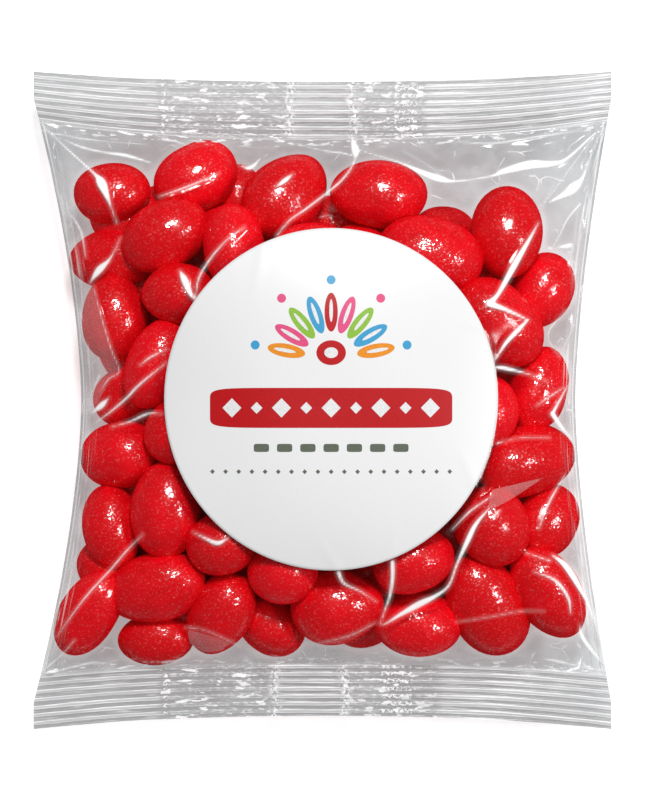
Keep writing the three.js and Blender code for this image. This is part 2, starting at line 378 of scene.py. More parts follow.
def lay_sweets():
    """x, y, z, length, width and direction of every sweet, settled clear of each other."""
    shown = np.array(SHOWN_SWEETS, float)
    x, y, length, width, turn, depth = shown.T
    length, width = length * GROWTH, width * GROWTH
    normal = upward(front_form, x, y)
    turn = np.radians(turn)
    axis = np.stack([np.cos(turn), np.sin(turn), np.zeros_like(turn)], 1)
    axis[:, 2] = -(axis * normal).sum(1) / normal[:, 2]
    axis /= np.linalg.norm(axis, axis=1, keepdims=True)
    length = length / np.hypot(axis[:, 0], axis[:, 1])  # the list's lengths are seen from above
    z = front_form(x, y) - (width / 2 + FILM_GIVE) / normal[:, 2] - depth
    front = np.column_stack([x, y, z, length, width, axis])

    # Under the label, a front layer like the one round it.
    points = lattice(HIDDEN_PITCH, HIDDEN_JITTER)
    near = np.linalg.norm(points[:, None] - front[None, :, :2], axis=2).min(1)
    from_centre = np.linalg.norm(points - LABEL_CENTRE, axis=1)
    points = points[(near > HIDDEN_CLEAR) & (from_centre < LABEL_RADIUS)]
    hidden = random_sweets(points, front_form(*points.T) - HIDDEN_DEPTH)

    # Along the back, a layer wherever the bag is thick enough for two.
    points = lattice(BACK_PITCH, BACK_JITTER)
    edge = np.minimum(to_side(*points.T), to_seal(*points.T))
    points = points[(edge > EDGE_MARGIN) & (thickness(*points.T) > THICK_ENOUGH)]
    back = random_sweets(points, back_form(*points.T) + BACK_HEIGHT)
    crowd = np.linalg.norm(back[:, None, :3] - np.vstack([front, hidden])[None, :, :3], axis=2)
    back = back[crowd.min(1) > BACK_CLEAR]

    sweets = np.vstack([front, hidden, back])
    mobility = np.concatenate([
        np.where(depth == 0, TOP_GIVE, SHOWN_GIVE), np.full(len(hidden), HIDDEN_GIVE),
        np.full(len(back), BACK_GIVE)])
    return settle(sweets, mobility, np.where(depth == 0)[0], len(front))


def settle(sweets, mobility, tops, shown_count):
    """Moves the sweets until hardly any overlap and all are inside the bag's form."""
    centre = sweets[:, :3].copy()
    start = centre.copy()
    width = sweets[:, 4]
    offset = sweets[:, 3] / 2 - END_RADIUS * width
    shift = sweets[:, 5:8] * offset[:, None]
    count = len(sweets)
    owner = np.repeat(np.arange(count), 3)
    radius = np.stack([width / 2, END_RADIUS * width, END_RADIUS * width], 1).ravel()
    give = mobility[owner]
    apart = owner[:, None] != owner[None, :]
    reach = radius[:, None] + radius[None, :]
    share = give[:, None] / (give[:, None] + give[None, :])
    pinned, roaming = slice(0, shown_count), slice(shown_count, count)
    for step in range(SETTLE_STEPS):
        balls = np.stack([centre, centre + shift, centre - shift], 1).reshape(-1, 3)
        gap = balls[:, None] - balls[None, :]
        distance = np.linalg.norm(gap, axis=2) + 1e-6
        overlap = np.where(apart, np.maximum(0, reach - distance), 0)
        push = (gap / distance[:, :, None] * (overlap * share)[:, :, None]).sum(1) * PUSH_SHARE
        x, y, z = balls.T
        for form, clear, side in ((front_form, FRONT_ROOM, 1), (back_form, BACK_ROOM, -1)):
            up = upward(form, x, y)
            past = np.maximum(0, radius + clear - side * (form(x, y) - z) * up[:, 2])
            push -= side * up * (past * FILM_SHARE)[:, None]
        out = np.abs(x - middle_x(y)) - (half_width(y) - radius - SIDE_ROOM)
        push[:, 0] -= np.sign(x) * np.maximum(0, out) * SIDE_SHARE
        move = np.zeros_like(centre)
        np.add.at(move, owner, push)
        centre += np.clip(move, -LONGEST_MOVE, LONGEST_MOVE)
        hold = FIRST_HOLD * (1 - step / SETTLE_STEPS) + LAST_HOLD
        centre[pinned, :2] += PINNING * (start[pinned, :2] - centre[pinned, :2])
        centre[tops, 2] += hold * (start[tops, 2] - centre[tops, 2])
        centre[roaming, :2] += ROAMING * (start[roaming, :2] - centre[roaming, :2])
    # A hidden sweet that has been squeezed out to where the film should be empty is left out.
    x, y = centre[:, 0], centre[:, 1]
    kept = thickness(x, y) > THICK_ENOUGH - 1
    kept[:shown_count] = True
    return fill_gaps(np.column_stack([centre, sweets[:, 3:]])[kept], shown_count)


def widest_gap(x, y, sweets):
    """The widest angle, seen from each point, that holds none of the sweets."""
    turn = np.sort(np.arctan2(sweets[:, 1] - y[:, None], sweets[:, 0] - x[:, None]), axis=1)
    return np.diff(turn, axis=1, append=turn[:, :1] + 2 * math.pi).max(1)


def fill_gaps(sweets, shown_count):
    """Adds small sweets deep in the heap wherever one could look straight through it."""
    steps = np.arange(-CORNER_Y, CORNER_Y, GAP_GRID)
    x, y = (v.ravel() for v in np.meshgrid(steps, steps))
    thick = thickness(x, y) > GAP_THICKNESS
    x, y = x[thick], y[thick]
    among = widest_gap(x, y, sweets[:shown_count]) < AMONG
    x, y = x[among], y[among]
    seen_through = np.ones(len(x), bool)
    for cx, cy, _, length, width, ax, ay, _ in sweets:
        reach = (length - width) / 2
        along = np.clip((x - cx) * ax + (y - cy) * ay, -reach, reach)
        away = np.hypot(x - cx - along * ax, y - cy - along * ay)
        seen_through &= away > width / 2 - COVER_MARGIN
    added = []
    for index in RNG.permutation(len(x)):
        if seen_through[index]:
            px, py = x[index], y[index]
            turn = RNG.uniform(0, math.pi)
            middle = max(back_form(px, py), LOWEST_SWEET) + FILLER_WIDTH / 2
            added.append((px, py, middle, FILLER_LENGTH, FILLER_WIDTH,
                          math.cos(turn), math.sin(turn), 0))
            seen_through &= np.hypot(x - px, y - py) > FILLER_SPACING
    return np.vstack([sweets, np.array(added).reshape(-1, 8)])


# --- Sweets: their shape ---

LUMPS = 7
LUMP_HEIGHT = 0.0085  # these and the waist are shares of a sweet's half width
WAISTS = (0, 0, 0.02, 0.05)
WAIST_REACH = 0.32


def ball_template():
    ball = bmesh.new()
    bmesh.ops.create_icosphere(ball, subdivisions=4, radius=1)
    points = np.array([v.co[:] for v in ball.verts])
    faces = np.array([[v.index for v in f.verts] for f in ball.faces])
    ball.free()
    return points, faces


def sweet_points(ball, length, width, axis):
    """One sugar-coated nut: an egg with a fuller end, slight dents and a faint waist."""
    taper = RNG.uniform(-0.08, 0.08)
    waist = RNG.choice(WAISTS)
    flat = RNG.uniform(0.94, 1.0)
    swelling = 1.02 + taper * ball[:, 0] - waist * np.exp(-(ball[:, 0] / WAIST_REACH) ** 2)
    lumps = np.zeros(len(ball))
    for _ in range(LUMPS):
        direction = RNG.normal(size=3)
        direction *= RNG.uniform(2.2, 4.6) / np.linalg.norm(direction)
        lumps += LUMP_HEIGHT * np.sin(ball @ direction + RNG.uniform(0, 2 * math.pi))
    shape = ball * (1 + lumps)[:, None]
    shape[:, 1] *= swelling
    shape[:, 2] *= swelling * flat
    shape *= (length / 2, width / 2, width / 2)
    side = np.cross(axis, (0.0, 0.0, 1.0))
    side /= np.linalg.norm(side) + 1e-9
    over = np.cross(side, axis)
    roll = RNG.uniform(0, 2 * math.pi)
    side, over = (math.cos(roll) * side + math.sin(roll) * over,
                  math.cos(roll) * over - math.sin(roll) * side)
    return shape @ np.stack([axis, side, over])


def make_sweets():
    ball, ball_faces = ball_template()
    sweets = lay_sweets()
    points, faces, tone = [], [], []
    for index, (x, y, z, length, width, *axis) in enumerate(sweets):
        sweet = sweet_points(ball, length, width, np.array(axis)) + (x, y, z)
        sweet[:, 2] += max(0, LOWEST_SWEET - sweet[:, 2].min())
        points.append(sweet)
        faces.append(ball_faces + index * len(ball))
        tone.append(np.full(len(ball), RNG.uniform(0, 1)))
    piece = new_object("sweets", np.vstack(points), np.vstack(faces))
    add_values(piece, "tone", np.concatenate(tone))
    return piece


# --- Film ---

COLUMNS, BODY_ROWS, SEAL_ROWS = 250, 262, 59
LAYER = 0.05  # each film lies this far off the seals' level
FILM_GAP = 0.12  # from the sweets, and down from the label's face where the film runs under it
LABEL_GRIP = 0.4  # the label holds the film this far past its edge
LOWEST_SKIN, LOWEST_FOLD, LOWEST_SEAM = 0.35, 0.3, 0.05
FAR_OFF = 100.0  # where the rays start, and the height where they meet nothing
PULL_STEPS = 500
PULL = 1.9  # a pull past the mean settles the skin sooner
LOOSE_DEPTH = (9, 14)  # film with this much room under it hangs free
LOOSE_BLUR = 14
LOOSE_SHARE = (0.55, 0.95)  # and this much of it round about
CREASE_LIFT, VEIL_LIFT = 0.45, 0.3
RIB_HEIGHT = 0.11
FAR = {"crease": -3.0, "veil": -3.0, "rib": -1.0, "side": 50.0, "rough": 0.0, "seam": 0.0,
       "loose": 0.0, "faint": 0.0, "pucker": 50.0, "tint": 0.0}
SEAM_COLUMNS, SEAM_RIBS, SEAM_CRIMP = 41, 7, 0.05
SEAM_BELOW = 0.18  # the back film
SEAM_FAINTNESS = 0.7
EDGE_BAND = 7.0  # the sides are wrinkled this far in

# Where the back seam's layers lie in the end seals: x of its two edges at each end, and x of the
# stretches on both sides of it where the crimp is crumpled, with how strongly.
SEAM_EDGES = {"top": (-6.1, 5.9), "bottom": (-9.0, 4.2)}
CRUMPLED = {
    "top": ((-29, -6.5, 0.7), (-31, -29, 1.0), (6.2, 19.5, 0.7), (13, 18.5, 1.0)),
    "bottom": ((-30.6, -28.6, 1.0), (-28, -9.5, 0.75), (4.5, 22, 0.6), (10.5, 17.5, 1.0)),
}


def film_grid():
    """x and y of the film's points, and how far out in a seal each row lies: 0 to 1."""
    q = np.linspace(-1, 1, COLUMNS)
    across = 0.8 * q + 0.2 * np.sin(q * math.pi / 2)
    body = np.linspace(-1, 1, BODY_ROWS)
    body = 0.85 * body + 0.15 * np.sin(body * math.pi / 2)
    seal = np.linspace(0, 1, SEAL_ROWS + 1)[1:]
    low, bottom = (-bow(BOTTOM_SEAL[name], across * CORNER_X) for name in ("outer", "inner"))
    high, top = (bow(TOP_SEAL[name], across * CORNER_X) for name in ("outer", "inner"))
    rows = [bottom + (low - bottom) * s for s in seal[::-1]]
    rows += [np.where(v < 0, -bottom, top) * v for v in body]
    rows += [top + (high - top) * s for s in seal]
    y = np.array(rows)
    x = middle_x(y) + across[None, :] * half_width(y)
    out = np.concatenate([seal[::-1], np.zeros(BODY_ROWS), seal])
    return x, y, out


def cast(tree, x, y, side):
    """Height of the first thing below (side 1) or above (side -1) that a vertical ray meets."""
    heights = np.full(x.size, -FAR_OFF * side)
    start, direction = FAR_OFF * MM * side, Vector((0, 0, -side))
    for index, (px, py) in enumerate(zip(x.ravel() * MM, y.ravel() * MM)):
        hit = tree.ray_cast(Vector((px, py, start)), direction)[0]
        if hit is not None:
            heights[index] = hit.z / MM
    return heights.reshape(x.shape)


def label_form(x, y):
    """The label's surface: the bag's crown with soft ripples and the ends of the film's folds."""
    ripple = LABEL_RIPPLE * waves(x, y, 26, 38, 5, np.random.default_rng(7))
    for a, b in LABEL_FOLDS:
        distance, along = from_run(x, y, a, b)
        ripple = ripple + FOLD_RISE * (1 - along) * np.exp(-(distance / FOLD_REACH) ** 2)
    return front_form(x, y) + LABEL_LIFT + ripple


def from_label(x, y):
    return np.hypot((x - LABEL_CENTRE[0]) / LABEL_BEND, y - LABEL_CENTRE[1]) - LABEL_RADIUS


def neighbours_mean(z):
    return (z[:-2, 1:-1] + z[2:, 1:-1] + z[1:-1, :-2] + z[1:-1, 2:]) / 4


def pull_taut(height, floor, fixed):
    """A skin drawn tight over what is under it: a free point sinks to its neighbours' mean."""
    z = np.where(fixed, height, np.maximum(height, floor))
    free = ~fixed[1:-1, 1:-1]
    row, column = np.indices(free.shape)
    halves = [free & ((row + column) % 2 == parity) for parity in (0, 1)]
    inner, under = z[1:-1, 1:-1], floor[1:-1, 1:-1]
    for _ in range(PULL_STEPS):
        for half in halves:
            moved = np.maximum(inner + PULL * (neighbours_mean(z) - inner), under)
            inner[half] = moved[half]
    return z


def rim(shape):
    edge = np.ones(shape, bool)
    edge[1:-1, 1:-1] = False
    return edge


def front_skin(tree, x, y):
    """The front film's height over the sweets, and how slack it is at each point: 0 to 1."""
    under = cast(tree, x, y, 1) + FILM_GAP
    label = label_form(x, y) - FILM_GAP
    edge = rim(x.shape)
    fixed = edge | (from_label(x, y) < LABEL_GRIP)
    start = np.where(edge, SEAL_LEVEL, np.where(fixed, label, front_form(x, y)))
    taut = pull_taut(start, under, fixed)
    loose = smoothstep(taut - under, *LOOSE_DEPTH)
    for _ in range(LOOSE_BLUR):
        loose[1:-1, 1:-1] = neighbours_mean(loose)
    return taut, smoothstep(loose, *LOOSE_SHARE)


def back_skin(tree, x, y):
    above = cast(tree, x, y, -1) - FILM_GAP
    edge = rim(x.shape)
    start = np.where(edge, SEAL_LEVEL, back_form(x, y))
    z = -pull_taut(-start, -above, edge)
    return np.maximum(z, LOWEST_SKIN)


def smooth_path(path):
    """The same run of points with a curve through them (Catmull-Rom) in place of corners."""
    path = np.array(path, float)
    ends = np.vstack([2 * path[0] - path[1], path, 2 * path[-1] - path[-2]])
    t = np.linspace(0, 1, 4, endpoint=False)[:, None]
    runs = []
    for p0, p1, p2, p3 in zip(ends, ends[1:], ends[2:], ends[3:]):
        bend = (2 * p0 - 5 * p1 + 4 * p2 - p3) * t ** 2 + (3 * p1 - p0 - 3 * p2 + p3) * t ** 3
        runs.append(p1 + ((p2 - p0) * t + bend) / 2)
    smooth = np.vstack(runs + [path[-1:]])
    smooth[:, 2] = np.maximum(smooth[:, 2], 0.05)
    return smooth


def from_run(x, y, a, b):
    """Distance of each point from the straight run a to b, and how far along it: 0 to 1."""
    dx, dy = b[0] - a[0], b[1] - a[1]
    along = np.clip(((x - a[0]) * dx + (y - a[1]) * dy) / (dx * dx + dy * dy), 0, 1)
    return np.hypot(x - a[0] - along * dx, y - a[1] - along * dy), along


def crease_field(x, y):
    """How far inside a crease's bright side (its painted highlight) each point lies, in
    millimetres; negative outside.
    """
    field = np.full(x.shape, -3.0)
    for crease in CREASES:
        path = smooth_path(crease)
        for a, b in zip(path, path[1:]):
            near = (x > min(a[0], b[0]) - 4) & (x < max(a[0], b[0]) + 4)
            near &= (y > min(a[1], b[1]) - 4) & (y < max(a[1], b[1]) + 4)
            distance, along = from_run(x[near], y[near], a, b)
            inside_by = (a[2] + (b[2] - a[2]) * along) / 2 - distance
            field[near] = np.maximum(field[near], inside_by)
    return field


def veil_field(x, y):
    """How far inside a fold where the film lies double each point lies, in millimetres; negative
    outside; the fold gets a painted pale haze.
    """
    field = np.full(x.shape, -3.0)
    for veil in VEILS:
        distance = np.full(x.shape, 1e3)
        crossings = np.zeros(x.shape, int)
        for a, b in zip(veil, veil[1:] + veil[:1]):
            distance = np.minimum(distance, from_run(x, y, a, b)[0])
            if a[1] != b[1]:
                beyond = (y < a[1]) != (y < b[1])
                crossings += beyond & (x < a[0] + (y - a[1]) * (b[0] - a[0]) / (b[1] - a[1]))
        field = np.maximum(field, np.where(crossings % 2 == 1, distance, -distance))
    return field


def side_wrinkles(x, y, seed):
    """Long wrinkles beside the side folds, and puckers that run in from the seals."""
    rng = np.random.default_rng(seed)
    side, seal = to_side(x, y), to_seal(x, y)
    sides = 0.20 * waves(x, y, 2.8, 34, 9, rng) * window(side, 0, 1, 2.5, EDGE_BAND)
    seals = 0.22 * waves(x, y, 5.5, 26, 7, rng) * window(seal, 0, 1, 2, 9)
    drape = 0.10 * waves(x, y, 9, 9, 12, rng) * smoothstep(np.minimum(side, seal), 0, 4)
    return sides + seals + drape


def corner_folds(x, y, seed):
    """Folds that fan out from where each end seal meets a side."""
    rng = np.random.default_rng(seed)
    total = np.zeros_like(x)
    for side in (-1, 1):
        for end, line in ((-1, BOTTOM_SEAL), (1, TOP_SEAL)):
            corner_y = end * line["inner"][1]
            corner_x = side * half_width(corner_y)
            dx, dy = side * (corner_x - x), end * (corner_y - y)
            distance = np.hypot(dx, dy)
            angle = np.arctan2(dy, dx)
            for turn in rng.uniform(0.15, 1.45, 6):
                narrow = rng.uniform(0.05, 0.09)
                reach = rng.uniform(10, 26)
                height = rng.uniform(0.25, 0.6) * rng.choice((-1, 1))
                ridge = np.exp(-((angle - turn) / narrow) ** 2)
                total += height * ridge * window(distance, 0, 4, 0.4 * reach, reach)
    return total


def wrinkles(x, y, seed):
    """Wrinkles and folds together; they hardly sink into what the film lies on."""
    return np.maximum(side_wrinkles(x, y, seed) + corner_folds(x, y, seed + 1), -0.1)


def crimp(x, y, out):
    """The seals' ribs along X: their height and phase (a crest at each half), and at each point
    how crumpled the crimp is and how near an edge of the back seam's lap."""
    rng = np.random.default_rng(3)
    drift = 0.10 * waves(x, y, 50, 400, 4, rng)
    strength = 1 + 0.25 * waves(x, y, 30, 30, 5, rng)
    ribs = RIB_HEIGHT * np.sin((out[:, None] * RIBS + drift) * 2 * math.pi) * strength
    fine = waves(x, y, 1.3, 1.3, 14, rng) + 0.7 * waves(x, y, 0.8, 0.8, 14, rng)
    rough = np.zeros_like(x)
    seam = np.zeros_like(x)
    for name, sign in (("top", 1), ("bottom", -1)):
        here = sign * y > 0
        for low, high, force in CRUMPLED[name]:
            band = window(x, low - 1, low + 1, high - 1, high + 1)
            rough = np.maximum(rough, np.where(here, force * band, 0))
        for edge in SEAM_EDGES[name]:
            band = np.exp(-((x - edge - 0.3 * waves(x, y, 90, 4, 3, rng)) / 0.9) ** 2)
            seam = np.maximum(seam, np.where(here, band, 0))
    ribs = ribs * (1 - 0.5 * rough) + 0.05 * fine * rough + (0.07 * fine + 0.16) * seam
    phase = np.where(out[:, None] > 0, out[:, None] * RIBS + drift + 0.25, -1.0)
    return ribs * smoothstep(out, 0, 0.04)[:, None], phase, rough, seam


def make_film(name, x, y, z, flip, **values):
    """A film's piece; the named values, one for each point, are what its material reads."""
    points = np.stack([x.ravel(), y.ravel(), z.ravel()], 1)
    piece = new_object(name, points, grid_faces(*x.shape, flip=flip))
    for key, far in FAR.items():
        add_values(piece, key, values.get(key, np.full(x.shape, far)))
    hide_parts("bag")
    return piece


def make_films(sweets):
    x, y, out = film_grid()
    tree = BVHTree.FromPolygons(
        [v.co for v in sweets.data.vertices], [p.vertices for p in sweets.data.polygons])
    ribs, phase, rough, seam = crimp(x, y, out)
    field = crease_field(x, y)
    veil = veil_field(x, y)
    pucker = np.where(out[:, None] > 0, FAR["pucker"], to_seal(x, y))
    body = slice(SEAL_ROWS, SEAL_ROWS + BODY_ROWS)
    inner = (x[body], y[body])
    free = smoothstep(from_label(*inner), 0.3, 2.5)
    taut, slack = front_skin(tree, *inner)
    loose = np.zeros(x.shape)
    loose[body] = slack * free
    front = SEAL_LEVEL + LAYER + ribs
    lift = CREASE_LIFT * smoothstep(field, -1.0, 0.5) + VEIL_LIFT * smoothstep(veil, -0.3, 0.3)
    front[body] += taut - SEAL_LEVEL + (wrinkles(*inner, 11) + lift[body]) * free
    back = SEAL_LEVEL - LAYER + ribs
    skin = np.maximum(back_skin(tree, *inner) - wrinkles(*inner, 21), LOWEST_FOLD)
    back[body] += skin - SEAL_LEVEL
    seam_x, seam_z = [], []
    q = np.linspace(-1, 1, SEAM_COLUMNS)
    fold = SEAM_CRIMP * np.sin(q * math.pi * SEAM_RIBS)
    for row_y, row_x, row_z in zip(y, x, back):
        seam_x.append(fin_x(np.mean(row_y)) + FIN_HALF_WIDTH * q)
        row = np.interp(seam_x[-1], row_x, row_z) - SEAM_BELOW + fold
        seam_z.append(np.maximum(row, LOWEST_SEAM))
    seam_x, seam_z = np.array(seam_x), np.array(seam_z)
    seam_y = np.array([np.interp(a, b, c) for a, b, c in zip(seam_x, x, y)])
    return [
        make_film("film_front", x, y, front, False,
                  crease=field, veil=veil, rib=phase, side=to_side(x, y), rough=rough,
                  seam=seam, loose=loose, pucker=pucker),
        make_film("film_back", x, y, back, True, tint=np.ones(x.shape)),
        make_film("film_seam", seam_x, seam_y, seam_z, True,
                  faint=np.full(seam_x.shape, SEAM_FAINTNESS)),
    ]


# --- Label ---

LABEL_RINGS, LABEL_SPOKES = 60, 256
LABEL_THICKNESS = 0.08


def make_label():
    """A thin round sheet of rings and spokes, bent over the bag's crown."""
    angle = np.linspace(0, 2 * math.pi, LABEL_SPOKES, endpoint=False)
    reach = np.linspace(0, 1, LABEL_RINGS + 1)[1:, None] * LABEL_RADIUS
    x = LABEL_CENTRE[0] + LABEL_BEND * np.append(0, reach * np.cos(angle))
    y = LABEL_CENTRE[1] + np.append(0, reach * np.sin(angle))
    z = label_form(x, y)
    points = np.vstack([np.column_stack([x, y, z]), np.column_stack([x, y, z - LABEL_THICKNESS])])
    a = 1 + np.arange(LABEL_SPOKES)
    b = np.roll(a, -1)
    sheet = [np.stack([0 * a, a, b], 1)]
    for _ in range(LABEL_RINGS - 1):
        outer_a, outer_b = a + LABEL_SPOKES, b + LABEL_SPOKES
        sheet += [np.stack([a, outer_a, outer_b], 1), np.stack([a, outer_b, b], 1)]
        a, b = outer_a, outer_b
    sheet = np.vstack(sheet)
    count = len(x)
    edge = [np.stack([a, a + count, b + count], 1), np.stack([a, b + count, b], 1)]
    piece = new_object("label_paper", points,
                       np.vstack([sheet, sheet[:, ::-1] + count] + edge))
    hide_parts("label")
    return piece


# The label's ornament. Each shape: x and y from the label's centre, length, width, turn in
# degrees, squareness (1 diamond, 2 oval, 6 rounded bar), colour and layer.
RED, ORANGE, LIME = (0.46, 0.002, 0.005), (0.74, 0.25, 0.01), (0.24, 0.46, 0.04)
BLUE, PINK, SAGE = (0.04, 0.31, 0.55), (0.68, 0.07, 0.20), (0.11, 0.13, 0.095)
PAPER = (0.72, 0.72, 0.725)
INKS = (ORANGE, BLUE, LIME, PINK)


def ornament():
    """A fan of petals, a red bar with diamonds and two rows of small marks."""
    shapes = []
    for petal in range(9):
        turn = 10 + 20 * petal
        c, s = math.cos(math.radians(turn)), math.sin(math.radians(turn))
        colour = RED if petal == 4 else INKS[petal % 4]
        shapes += [(8.6 * c, 7.5 + 8.6 * s, 7.2, 2.5, turn, 2, colour, 1),
                   (8.9 * c, 7.5 + 8.9 * s, 4.2, 0.7, turn, 2, PAPER, 2)]
        if petal % 2 == 0:
            shapes.append((14.6 * c, 7.5 + 14.6 * s, 1.7, 1.7, 0, 2, INKS[(petal + 1) % 4], 1))
    shapes += [(0, 8.6, 5.6, 4.6, 0, 2, RED, 1), (0, 8.6, 2.6, 2.0, 0, 2, PAPER, 2),
               (0, -1.6, 46, 7.4, 0, 8, RED, 1)]
    for place in range(-4, 5):
        size = 2.2 if place % 2 else 3.6
        shapes.append((place * 4.7, -1.6, size, size, 0, 1, PAPER, 2))
    shapes += [(place * 4.4, -9.0, 2.9, 1.5, 0, 6, SAGE, 1) for place in range(-3, 4)]
    shapes += [(place * 2.5, -13.4, 0.9, 0.9, 0, 1, SAGE, 1) for place in range(-9, 10)]
    return shapes


def make_print():
    points, faces, colours, count = [], [], [], 0
    for cx, cy, length, width, turn, square, colour, layer in ornament():
        columns, rows = int(6 + 1.6 * length), int(5 + 1.6 * width)
        u = 0.999 * np.sin(np.linspace(-1, 1, columns) * math.pi / 2)
        reach = (1 - np.abs(u) ** square) ** (1 / square)
        v = np.linspace(-1, 1, rows)[:, None] * reach
        x, y = np.broadcast_to(u * length / 2, v.shape).ravel(), v.ravel() * width / 2
        c, s = math.cos(math.radians(turn)), math.sin(math.radians(turn))
        x, y = cx + c * x - s * y, cy + s * x + c * y
        x, y = LABEL_CENTRE[0] + LABEL_BEND * x, LABEL_CENTRE[1] + y
        points.append(np.column_stack([x, y, label_form(x, y) + INK_STEP * layer]))
        faces.append(grid_faces(rows, columns) + count)
        colours.append(np.tile(colour + (1.0,), (len(x), 1)))
        count += len(x)
    piece = new_object("label_print", np.vstack(points), np.vstack(faces))
    add_values(piece, "ink", np.vstack(colours), "FLOAT_COLOR", "color")
    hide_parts("label")
    return piece


# --- Materials ---

WHITE = (1, 1, 1, 1)
# The sugar shell's colours: of a dark and of a bright patch, of its grain and of its specks.
DARK_RED = (0.72, 0.0004, 0.004, 1)
BRIGHT_RED = (0.91, 0.0008, 0.009, 1)
GRAIN_RED = (0.95, 0.009, 0.017, 1)
SPECK = (0.95, 0.26, 0.24, 1)
SPECK_PITCH, SPECK_STRENGTH = 0.95, 0.7
GLAZE_SHARE = 0.06  # of the light that the polished glaze mirrors, whatever the angle
DULL_GLITTER = (0.012, 0.012, 0.012, 1)
BRIGHT_GLITTER = (0.22, 0.22, 0.22, 1)
# The film: what it lets through where it lies on sweets and, less, where it is slack or lies
# behind, which paints the shade under the bag, its scattered light, and the painted highlight that
# whitens its creases.
CLEAR = (0.89, 0.895, 0.895, 1)
SHADE_DIMMED = (0.715, 0.73, 0.735, 1)
MILKY = (0.275, 0.275, 0.28, 1)
# Painted highlight: the white that the creases are painted with.
PAINTED_CREASE_HIGHLIGHT = (0.97, 0.97, 0.98, 1)
MIRROR_HEAD_ON = 0.018
MIRROR_RISE = 0.10  # more than that at a grazing angle
SEAL_MILK = 0.66
# Painted pale haze where the film is folded double, standing for its extra reflection.
VEIL_HAZE = 0.08  # where the film is folded double
# The label.
PAPER_DARK = (0.705, 0.705, 0.71, 1)
PAPER_BRIGHT = (0.735, 0.735, 0.74, 1)
WORN_INK = (0.88, 0.88, 0.88, 1)
# The floor is white and glows a little, so that the photo's bare white surround comes out.
FLOOR_COLOUR = (0.96, 0.96, 0.96, 1)
FLOOR_GLOW = 0.46


class Nodes:
    """The node tree of a material or world, with short ways to add and join nodes."""

    def __init__(self, name, kind="materials"):
        self.owner = getattr(bpy.data, kind).new(name)
        self.owner.use_nodes = True
        self.tree = self.owner.node_tree
        self.tree.nodes.clear()

    @property
    def place(self):
        return self.add("TexCoord").outputs["Object"]

    def add(self, kind, settings=None, **inputs):
        """A node with its inputs by name, spaces written _, or by number after an _."""
        node = self.tree.nodes.new("ShaderNode" + kind)
        for key, value in (settings or {}).items():
            setattr(node, key, value)
        for key, value in inputs.items():
            key = key.replace("_", " ").strip()
            socket = node.inputs[int(key)] if key.isdigit() else node.inputs[key]
            if isinstance(value, bpy.types.Node):
                value = value.outputs[0]
            if isinstance(value, bpy.types.NodeSocket):
                self.tree.links.new(value, socket)
            else:
                socket.default_value = value
        return node

    def math(self, operation, *values):
        return self.add("Math", {"operation": operation},
                        **{"_%d" % index: value for index, value in enumerate(values)})

    def times(self, *values):
        return functools.reduce(lambda a, b: self.math("MULTIPLY", a, b), values)

    def most(self, *values):
        return functools.reduce(lambda a, b: self.math("MAXIMUM", a, b), values)

    def flip(self, value):
        return self.math("SUBTRACT", 1.0, value)

    def off(self, value, centre):
        """How far the value is from the centre, on either side."""
        return self.math("ABSOLUTE", self.math("SUBTRACT", value, centre))

    def step(self, value, low, high):
        """0 below low, 1 above high, smooth between."""
        return self.add("MapRange", {"interpolation_type": "SMOOTHSTEP"},
                        Value=value, From_Min=low, From_Max=high)

    def fade(self, value, low, high):
        """1 below low, 0 above high, smooth between."""
        return self.flip(self.step(value, low, high))

    def noise(self, size_mm, detail=2.0, roughness=0.5):
        """Noise from 0 to 1, with grains of about the given size."""
        return self.add("TexNoise", Vector=self.place, Scale=1 / (size_mm * MM), Detail=detail,
                        Roughness=roughness).outputs["Fac"]

    def streaks(self, x, y, z=0.0, detail=3.0, distortion=0.0):
        """Noise from 0 to 1, with grains of 1 in the given coordinates."""
        where = self.add("CombineXYZ", X=x, Y=y, Z=z)
        return self.add("TexNoise", Vector=where, Scale=1.0, Detail=detail,
                        Distortion=distortion).outputs["Fac"]

    def along(self, axis, size_mm):
        """The place along X or Y, counted in the given size."""
        return self.times(self.add("SeparateXYZ", Vector=self.place).outputs[axis],
                          1 / (size_mm * MM))

    def bump(self, depth_mm, height, strength=1.0, **inputs):
        return self.add("Bump", Strength=strength, Distance=depth_mm * MM, Height=height, **inputs)

    def value(self, name):
        return self.add("Attribute", {"attribute_name": name}).outputs["Fac"]

    def blend(self, factor, first, second):
        return self.add("MixRGB", Fac=factor, Color1=first, Color2=second)

    def mix(self, factor, first, second):
        return self.add("MixShader", Fac=factor, _1=first, _2=second)

    def finish(self, shader):
        self.add("OutputMaterial", Surface=shader)
        return self.owner


